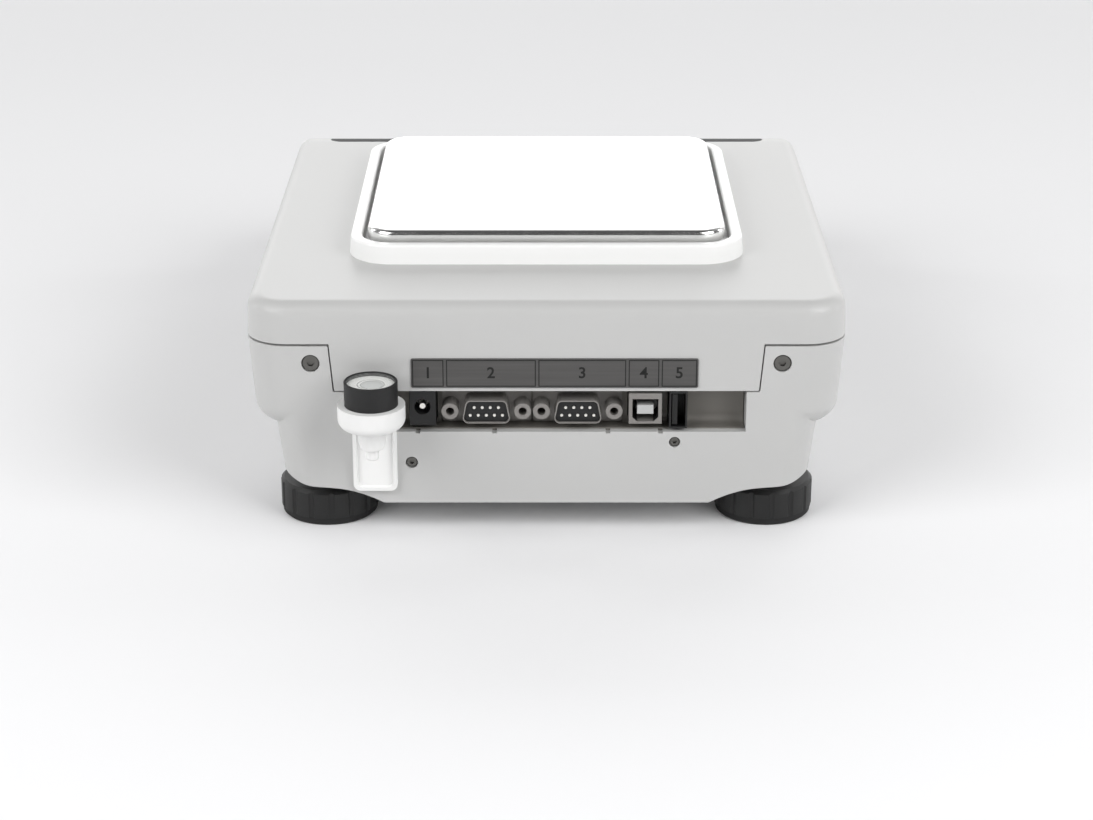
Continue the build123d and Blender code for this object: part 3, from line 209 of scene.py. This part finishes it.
# Case: upper cover and lower housing, injection-moulded ABS in a light grey.
# The mould is spark-eroded, so the skin has a fine grain and a dull sheen.
def moulded_plastic(name, colour, second_colour, grain, roughness, strength=0.25):
    """Moulded plastic: two close tones in slow drifts, under a fine grain of that size."""
    material, tree = new_material(name)
    coords = add_node(tree, "ShaderNodeTexCoord").outputs["Object"]
    drift = add_node(tree, "ShaderNodeTexNoise", inputs={"Vector": coords, "Scale": 18.0, "Detail": 3.0})
    tone = add_node(
        tree, "ShaderNodeMix", {"data_type": "RGBA"},
        {"Factor": drift.outputs["Fac"], "A": srgb(colour), "B": srgb(second_colour)},
    )
    skin = add_node(tree, "ShaderNodeTexNoise", inputs={"Vector": coords, "Scale": 1 / grain, "Detail": 2.0})
    shine = add_node(
        tree, "ShaderNodeMapRange", None,
        {"Value": skin.outputs["Fac"], "To Min": roughness - 0.05, "To Max": roughness + 0.07},
    )
    bump = add_node(
        tree, "ShaderNodeBump", None,
        {"Height": skin.outputs["Fac"], "Distance": 0.02 * mm, "Strength": strength},
    )
    finish_material(tree, {
        "Base Color": tone.outputs["Result"],
        "Roughness": shine.outputs["Result"],
        "IOR": 1.53,
        "Normal": bump.outputs["Normal"],
    })
    return material


def dress(node, material, smooth_angle=32, inlays=()):
    """Stands a merged, smooth copy in for a CAD node.

    Each inlay is a material and a test for the faces that take it, in millimetres.
    """
    source = nodes[node]
    piece = bpy.data.objects.new(f"{node}_finish", source.data.copy())
    bpy.context.scene.collection.objects.link(piece)
    select_only(piece)
    bpy.ops.object.mode_set(mode="EDIT")
    bpy.context.tool_settings.mesh_select_mode = (False, True, False)
    bpy.ops.mesh.select_all(action="SELECT")
    bpy.ops.mesh.remove_doubles(threshold=0.001 * mm)
    bpy.ops.mesh.dissolve_limited(angle_limit=math.radians(0.05))
    bpy.ops.mesh.select_all(action="SELECT")
    bpy.ops.mesh.customdata_custom_splitnormals_clear()
    bpy.ops.mesh.mark_sharp(clear=True)
    bpy.ops.mesh.faces_shade_smooth()
    bpy.ops.mesh.select_all(action="DESELECT")
    bpy.ops.mesh.edges_select_sharp(sharpness=math.radians(smooth_angle))
    bpy.ops.mesh.mark_sharp()
    bpy.ops.object.mode_set(mode="OBJECT")
    even = piece.modifiers.new("even_shading", "WEIGHTED_NORMAL")
    even.keep_sharp = True
    bpy.ops.object.modifier_apply(modifier=even.name)
    piece.data.materials.clear()
    piece.data.materials.append(material)
    for slot, (inlay, test) in enumerate(inlays, start=1):
        piece.data.materials.append(inlay)
        for face in piece.data.polygons:
            if test(face.center / mm, face.normal):
                face.material_index = slot
    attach(piece, source["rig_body"])
    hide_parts(node)
    return piece


def paint(node, material):
    """Gives a CAD node that stays as it is a better material."""
    nodes[node].data.materials.clear()
    nodes[node].data.materials.append(material)


case_grey = moulded_plastic("case_moulded_abs", "#BDBDBC", "#BABAB9", 0.5 * mm, 0.4)
dress("upper_cover", case_grey)
dress("lower_housing", case_grey)


# Tray ring: a separate white ABS moulding with a smoother, brighter skin than the case.
tray_white = moulded_plastic("tray_polished_abs", "#F7F7F6", "#F5F5F4", 0.6 * mm, 0.3, strength=0.06)
dress("tray_ring", tray_white)


# Pan: stainless sheet, pressed to a square dish upside down and rolled to a satin face.
# The fine grain runs along X and stretches each highlight across it.
def brushed_steel(
    name, colour, roughness, grain=(2.0, 0.15), strength=0.12, dark_colour=None, metal=1.0,
):
    """Brushed metal, with scratches of that length and spacing in millimetres along X."""
    material, tree = new_material(name)
    coords = add_node(tree, "ShaderNodeTexCoord").outputs["Object"]
    stretch = add_node(
        tree, "ShaderNodeMapping", None,
        {"Vector": coords, "Scale": (1 / (grain[0] * mm), 1 / (grain[1] * mm), 1 / (grain[1] * mm))},
    )
    scratches = add_node(
        tree, "ShaderNodeTexNoise", None, {"Vector": stretch.outputs["Vector"], "Scale": 0.3},
    )
    tone = add_node(
        tree, "ShaderNodeMix", {"data_type": "RGBA"},
        {"Factor": scratches.outputs["Fac"], "A": srgb(dark_colour or colour), "B": srgb(colour)},
    )
    shine = add_node(
        tree, "ShaderNodeMapRange", None,
        {"Value": scratches.outputs["Fac"], "To Min": roughness - 0.05, "To Max": roughness + 0.08},
    )
    bump = add_node(
        tree, "ShaderNodeBump", None,
        {"Height": scratches.outputs["Fac"], "Distance": 0.01 * mm, "Strength": strength},
    )
    finish_material(tree, {
        "Base Color": tone.outputs["Result"],
        "Metallic": metal,
        "Roughness": shine.outputs["Result"],
        "Normal": bump.outputs["Normal"],
    })
    return material


pan_steel = brushed_steel("pan_stainless_satin", "#F0F0EF", 0.2, strength=0.06)
dress("weighing_pan", pan_steel)
paint("pan_carrier", brushed_steel("carrier_cast_aluminium", "#A9A9AA", 0.5))
black_rubber = moulded_plastic("black_rubber", "#101010", "#141414", 0.7 * mm, 0.75)
paint("pan_cushions", black_rubber)


# Weighing cell: cast and machined aluminium, hidden in the case under the pan.
cell_alloy = brushed_steel("cell_cast_aluminium", "#B4B4B5", 0.45)
for part in ("load_receptor", "cell_frame", "upper_guide", "lower_guide", "balance_beam"):
    paint(part, cell_alloy)
turned_steel = brushed_steel("turned_steel", "#B8B8B6", 0.25)
for part in ("frame_pins", "magnet_pot", "case_screws"):
    paint(part, turned_steel)
paint("coil", brushed_steel("coil_copper_wire", "#B87333", 0.35))


# Front panel: printed polyester film, dark grey, laid in a recess of the cover.
# It laps over the ridge, where its upper edge shows from the rear. The keys are soft grey mouldings.
panel_grey = moulded_plastic("panel_printed_film", "#161718", "#141516", 0.3 * mm, 0.7)
dress("front_panel", panel_grey)
key_grey = moulded_plastic("key_soft_moulding", "#C4C6C7", "#BFC1C2", 0.4 * mm, 0.55)
for part in frame["record"]["behaviour"]["bodies"]:
    if part.startswith("key_"):
        dress(part, key_grey)


# Display: a clear window over a grey-green liquid-crystal module, switched off.
def clear_plastic(name, colour, roughness=0.04):
    """Clear moulded plastic, faintly tinted."""
    material, tree = new_material(name)
    coords = add_node(tree, "ShaderNodeTexCoord").outputs["Object"]
    haze = add_node(tree, "ShaderNodeTexNoise", None, {"Vector": coords, "Scale": 60.0})
    shine = add_node(
        tree, "ShaderNodeMapRange", None,
        {"Value": haze.outputs["Fac"], "To Min": roughness, "To Max": roughness + 0.03},
    )
    finish_material(tree, {
        "Base Color": srgb(colour),
        "Roughness": shine.outputs["Result"],
        "IOR": 1.49,
        "Transmission Weight": 0.9,
    })
    return material


dress("display_window", clear_plastic("window_acrylic", "#E8EEEA"))
paint("display_module", moulded_plastic("display_liquid_crystal", "#8B9A86", "#869581", 0.8 * mm, 0.3))
board_green = moulded_plastic("circuit_board_laminate", "#1F5A35", "#1B5030", 0.4 * mm, 0.35)
paint("key_board", board_green)
paint("main_board", board_green)


# Socket plate and sockets: a bent sheet behind the rear opening, with the sockets through it.
bay_steel = brushed_steel("bay_plated_sheet", "#7E7B76", 0.55, metal=0.35)
dress("socket_plate", bay_steel)
socket_tin = brushed_steel("socket_tinned_shell", "#8A8784", 0.5, metal=0.45)
contact_bright = brushed_steel("contact_plated_brass", "#F2F0EA", 0.35)
socket_black = moulded_plastic("socket_black_nylon", "#09090A", "#0D0D0E", 0.5 * mm, 0.55, strength=0.1)
tongue_grey = moulded_plastic("tongue_grey_nylon", "#B9BAB9", "#B4B5B4", 0.5 * mm, 0.45)
pin_pitch = 2.77
row_pitch = 2.84
pin_reach = 0.56
pin_depth = 5.5


def on_pin(node, centre):
    """Tells whether a point in millimetres lies on one of a nine-pin socket's pins."""
    low, high = (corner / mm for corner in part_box(node))
    across = centre.x - (low.x + high.x) / 2
    up = centre.z - (low.z + high.z) / 2
    for count, row in ((5, -row_pitch / 2), (4, row_pitch / 2)):
        for place in range(count):
            if math.hypot(across - pin_pitch * (place - (count - 1) / 2), up - row) < pin_reach:
                return centre.y > high.y - pin_depth
    return False


for part in ("serial_socket_1", "serial_socket_2"):
    dress(part, socket_tin, 25, [(contact_bright, lambda centre, normal, node=part: on_pin(node, centre))])
dress("serial_insulators", socket_black)


mouth_depth = 11.0
mouth_lip = 0.3


def in_mouth(node, border, centre):
    """Tells whether a point in millimetres lies inside a socket's mouth, clear of its shell."""
    low, high = (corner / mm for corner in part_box(node))
    inside = low.x + border < centre.x < high.x - border and low.z + border < centre.z < high.z - border
    return inside and high.y - mouth_depth < centre.y < high.y - mouth_lip


usb_low, usb_high = (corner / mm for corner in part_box("usb_socket_b"))
tongue_x = (usb_low.x + usb_high.x) / 2
tongue_z = (usb_low.z + usb_high.z) / 2 - 0.6
tongue_half_width = 2.9
tongue_half_height = 1.7
tongue_depth = 10.5
tongue_sink = 0.5


def on_tongue(centre, normal):
    """Tells whether a point lies on the tongue of the larger USB socket."""
    deep = usb_high.y - tongue_depth < centre.y < usb_high.y - tongue_sink
    beside = abs(centre.x - tongue_x) < tongue_half_width
    return deep and beside and abs(centre.z - tongue_z) < tongue_half_height


dress("usb_socket_b", socket_tin, 25, [
    (socket_black, lambda centre, normal: in_mouth("usb_socket_b", 0.9, centre)),
    (tongue_grey, on_tongue),
])
dress("usb_socket_a", socket_black, 25)
power_pin_x = 42.6
power_pin_z = 46.9
power_pin_reach = 1.1


def on_power_pin(centre, normal):
    """Tells whether a point lies on the centre pin of the power socket."""
    off_axis = math.hypot(centre.x - power_pin_x, centre.z - power_pin_z)
    return in_mouth("dc_socket", 3.4, centre) and off_axis < power_pin_reach


dress("dc_socket", socket_black, 25, [(contact_bright, on_power_pin)])


# Label plate: brushed aluminium sheet, glued to the rear apron, with plain dark frames.
label_metal = brushed_steel(
    "label_brushed_aluminium", "#6F6E6D", 0.42, grain=(14.0, 0.5), strength=0.3, dark_colour="#565554",
)
dress("label_plate", label_metal)
print_depth = 0.03 * mm
label_low, label_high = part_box("label_plate")
label_ink = moulded_plastic("label_dark_ink", "#050505", "#080808", 0.3 * mm, 0.8)
cell_edges = [label_high.x, 34.7 * mm, 3.2 * mm, -27.6 * mm, -38.9 * mm, label_low.x]
cell_border = 0.45 * mm
line_width = 0.34 * mm


def link_piece(piece, name, material, body="case"):
    """Names a finished piece, gives it its material and rides it on a body."""
    piece.name = name
    piece.data.name = name
    piece.data.materials.clear()
    piece.data.materials.append(material)
    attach(piece, body)
    return piece


def apply_place(piece):
    """Moves an object's place, turn and scale into its mesh."""
    select_only(piece)
    bpy.ops.object.transform_apply(location=True, rotation=True, scale=True)


def join_pieces(pieces):
    """Joins finished objects into the first one."""
    select_only(pieces[0])
    for piece in pieces[1:]:
        piece.select_set(True)
    bpy.ops.object.join()
    return pieces[0]


frames = []
for left, right in zip(cell_edges, cell_edges[1:]):
    width = left - right - 2 * cell_border
    height = label_high.z - label_low.z - 2 * cell_border
    bpy.ops.object.select_all(action="DESELECT")
    bpy.ops.mesh.primitive_plane_add(
        size=1,
        location=((left + right) / 2, label_high.y, (label_low.z + label_high.z) / 2),
        rotation=(math.pi / 2, 0, math.pi),
    )
    cell = bpy.context.object
    cell.scale = (width, height, 1)
    apply_place(cell)
    bpy.ops.object.mode_set(mode="EDIT")
    bpy.ops.mesh.select_all(action="SELECT")
    bpy.ops.mesh.inset(thickness=line_width)
    bpy.ops.mesh.delete(type="ONLY_FACE")
    bpy.ops.mesh.select_all(action="SELECT")
    bpy.ops.mesh.extrude_region_move(TRANSFORM_OT_translate={"value": (0, print_depth, 0)})
    bpy.ops.mesh.select_all(action="SELECT")
    bpy.ops.mesh.normals_make_consistent(inside=False)
    bpy.ops.object.mode_set(mode="OBJECT")
    frames.append(cell)
link_piece(join_pieces(frames), "label_frames", label_ink)

numbers = []
for number, (left, right) in enumerate(zip(cell_edges, cell_edges[1:]), start=1):
    bpy.ops.object.text_add(
        location=((left + right) / 2, label_high.y, (label_low.z + label_high.z) / 2),
        rotation=(math.pi / 2, 0, math.pi),
    )
    figure = bpy.context.object
    figure.data.body = str(number)
    figure.data.size = 5.6 * mm
    figure.data.align_x = "CENTER"
    figure.data.align_y = "CENTER"
    figure.data.extrude = print_depth
    figure.data.offset = 0.1 * mm
    figure.data.resolution_u = 3
    select_only(figure)
    bpy.ops.object.convert(target="MESH")
    apply_place(figure)
    numbers.append(figure)
link_piece(join_pieces(numbers), "label_numbers", label_ink)


# Bubble level: a grey bracket, a black ring and a white disc under a clear vial.
bracket_grey = moulded_plastic("bracket_moulded_abs", "#E9E9E8", "#E6E6E5", 0.5 * mm, 0.42)
dress("level_holder", bracket_grey)
ring_black = moulded_plastic("level_ring_black_abs", "#070708", "#0A0A0B", 0.4 * mm, 0.55, strength=0.1)
dress("level_ring", ring_black)
dress("level_disc", moulded_plastic("level_disc_white", "#F6F6F4", "#F3F3F1", 0.5 * mm, 0.4))


def thin_clear(name):
    """A thin clear window: gloss over what lies under it, with hardly a colour of its own."""
    material, tree = new_material(name)
    coords = add_node(tree, "ShaderNodeTexCoord").outputs["Object"]
    haze = add_node(tree, "ShaderNodeTexNoise", None, {"Vector": coords, "Scale": 80.0})
    shine = add_node(
        tree, "ShaderNodeMapRange", None, {"Value": haze.outputs["Fac"], "To Min": 0.05, "To Max": 0.09},
    )
    finish_material(tree, {
        "Base Color": srgb("#EEF0EE"), "Roughness": shine.outputs["Result"], "IOR": 1.49, "Alpha": 0.12,
    })
    material.surface_render_method = "BLENDED"
    return material


vial = dress("level_glass", thin_clear("level_vial_acrylic"))
bpy.ops.object.mode_set(mode="EDIT")
edit = bmesh.from_edit_mesh(vial.data)
vial_floor = min(vertex.co.z for vertex in edit.verts)
for vertex in edit.verts:
    if vertex.co.z < vial_floor + 0.01 * mm:
        vertex.co.z += 0.05 * mm
bmesh.update_edit_mesh(vial.data)
bpy.ops.object.mode_set(mode="OBJECT")


# Key legends: dark print on the keys, one plain sign each.
# The print lies on the key's upper face and moves with its key.
legend_ink = moulded_plastic("key_legend_ink", "#26282A", "#2A2C2E", 0.3 * mm, 0.6)
legend_line = 0.7


def flat_sign(corners, width, height, place=(0, 0), turn=0):
    """One raised print shape with that many corners, in millimetres on a flat plane."""
    bpy.ops.object.select_all(action="DESELECT")
    bpy.ops.mesh.primitive_circle_add(vertices=corners, radius=mm, fill_type="NGON", rotation=(0, 0, turn))
    sign = bpy.context.object
    apply_place(sign)
    sign.dimensions = (width * mm, height * mm, 0)
    low_y = min(vertex.co.y for vertex in sign.data.vertices)
    high_y = max(vertex.co.y for vertex in sign.data.vertices)
    apply_place(sign)
    off_centre = (low_y + high_y) / (high_y - low_y) * height / 2
    sign.location = (place[0] * mm, (place[1] - off_centre) * mm, 0)
    apply_place(sign)
    bpy.ops.object.mode_set(mode="EDIT")
    bpy.ops.mesh.select_all(action="SELECT")
    bpy.ops.mesh.extrude_region_move(TRANSFORM_OT_translate={"value": (0, 0, print_depth)})
    bpy.ops.mesh.select_all(action="SELECT")
    bpy.ops.mesh.normals_make_consistent(inside=False)
    bpy.ops.object.mode_set(mode="OBJECT")
    return sign


def ring_sign(width, height):
    """One raised print ring, round or oval, in millimetres on a flat plane."""
    bpy.ops.object.select_all(action="DESELECT")
    bpy.ops.mesh.primitive_torus_add(
        major_radius=height * mm / 2, minor_radius=legend_line * mm / 2, major_segments=40, minor_segments=8,
    )
    ring = bpy.context.object
    ring.scale = (width / height, 1, 2 * print_depth / (legend_line * mm))
    apply_place(ring)
    bpy.ops.object.shade_smooth()
    return ring


square = math.pi / 4
down, left_turn, right_turn = math.pi, math.pi / 2, -math.pi / 2
key_signs = {
    "key_power": lambda: [ring_sign(3.8, 3.8), flat_sign(4, legend_line, 2.4, (0, 1.7), square)],
    "key_print": lambda: [
        flat_sign(3, 4.0, 2.7, (0, 0.5), down),
        flat_sign(4, 4.0, legend_line, (0, -1.9), square),
    ],
    "key_menu": lambda: [flat_sign(4, 4.4, legend_line, (0, y), square) for y in (1.5, 0, -1.5)],
    "key_mode": lambda: [ring_sign(3.8, 3.8), flat_sign(16, 1.3, 1.3)],
    "key_unit": lambda: [flat_sign(4, 4.6, 4.6)],
    "key_tare": lambda: [
        ring_sign(2.6, 3.8),
        flat_sign(3, 1.8, 2.2, (-4.0, 0), right_turn),
        flat_sign(3, 1.8, 2.2, (4.0, 0), left_turn),
    ],
}
press_axis = {joint["child"]: Vector(joint["axis"]) for joint in frame["record"]["behaviour"]["joints"]}
for part, draw in key_signs.items():
    outward = -press_axis[part].normalized()
    along = Vector((1, 0, 0))
    upward = outward.cross(along)
    corners = [vertex.co for vertex in nodes[part].data.vertices]
    middle = [
        (min(corner.dot(way) for corner in corners) + max(corner.dot(way) for corner in corners)) / 2
        for way in (along, upward)
    ]
    top = max(corner.dot(outward) for corner in corners)
    place = along * middle[0] + upward * middle[1] + outward * top
    sign = join_pieces(draw())
    turned = Matrix((along, upward, outward)).transposed().to_4x4()
    sign.matrix_world = Matrix.Translation(place) @ turned
    apply_place(sign)
    link_piece(sign, f"{part}_legend", legend_ink, body=part)


# Level print and bubble: a thin target ring on the white disc, and the bubble that sits in it.
disc_low, disc_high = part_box("level_disc")
disc_middle = (disc_low + disc_high) / 2
target_grey = moulded_plastic("level_target_ink", "#7F8080", "#858686", 0.3 * mm, 0.5)
bubble_grey = moulded_plastic("level_bubble_air", "#C9CBCA", "#CDCFCE", 0.5 * mm, 0.15)
bpy.ops.object.select_all(action="DESELECT")
bpy.ops.mesh.primitive_circle_add(
    vertices=48, radius=4.7 * mm, location=(disc_middle.x, disc_middle.y, disc_high.z),
)
target = bpy.context.object
bpy.ops.object.mode_set(mode="EDIT")
bpy.ops.mesh.extrude_region_move()
bpy.ops.transform.resize(value=(0.945, 0.945, 1), center_override=(disc_middle.x, disc_middle.y, disc_high.z))
bpy.ops.mesh.select_all(action="SELECT")
bpy.ops.mesh.normals_make_consistent(inside=False)
bpy.ops.mesh.extrude_region_move(TRANSFORM_OT_translate={"value": (0, 0, print_depth)})
bpy.ops.mesh.select_all(action="SELECT")
bpy.ops.mesh.normals_make_consistent(inside=False)
bpy.ops.object.mode_set(mode="OBJECT")
apply_place(target)
link_piece(target, "level_target_ring", target_grey)
bpy.ops.object.select_all(action="DESELECT")
bpy.ops.mesh.primitive_uv_sphere_add(
    segments=32, ring_count=16, radius=3.9 * mm,
    location=(disc_middle.x - 0.3 * mm, disc_middle.y + 0.2 * mm, disc_high.z),
)
bubble = bpy.context.object
bubble.scale = (1, 1, 0.1)
apply_place(bubble)
bpy.ops.object.mode_set(mode="EDIT")
bpy.ops.mesh.select_all(action="SELECT")
bpy.ops.mesh.bisect(
    plane_co=(0, 0, disc_high.z + 0.01 * mm), plane_no=(0, 0, 1), clear_inner=True, use_fill=True,
)
bpy.ops.object.mode_set(mode="OBJECT")
bpy.ops.object.shade_smooth_by_angle(angle=math.radians(60))
link_piece(bubble, "level_bubble", bubble_grey)


# Screws: dulled zinc-plated steel, sunk in the rear face.
screw_zinc = brushed_steel("screw_dulled_zinc", "#6E6D6A", 0.4)
for part in ("cover_screw_left", "cover_screw_right", "low_screw_left", "low_screw_right"):
    dress(part, screw_zinc)


# Feet: black nylon knobs with wide flutes, on rubber pads, with steel studs in brass inserts.
knob_black = moulded_plastic("knob_black_nylon", "#060606", "#090909", 0.6 * mm, 0.5, strength=0.1)
insert_brass = brushed_steel("insert_turned_brass", "#C9A85A", 0.3)
for corner in ("rear_left", "rear_right", "front_left", "front_right"):
    dress(f"foot_knob_{corner}", knob_black)
    dress(f"foot_pad_{corner}", black_rubber)
    dress(f"foot_stud_{corner}", turned_steel)
    paint(f"foot_insert_{corner}", insert_brass)
paint("hook_plug", socket_black)
paint("position_sensor", socket_black)
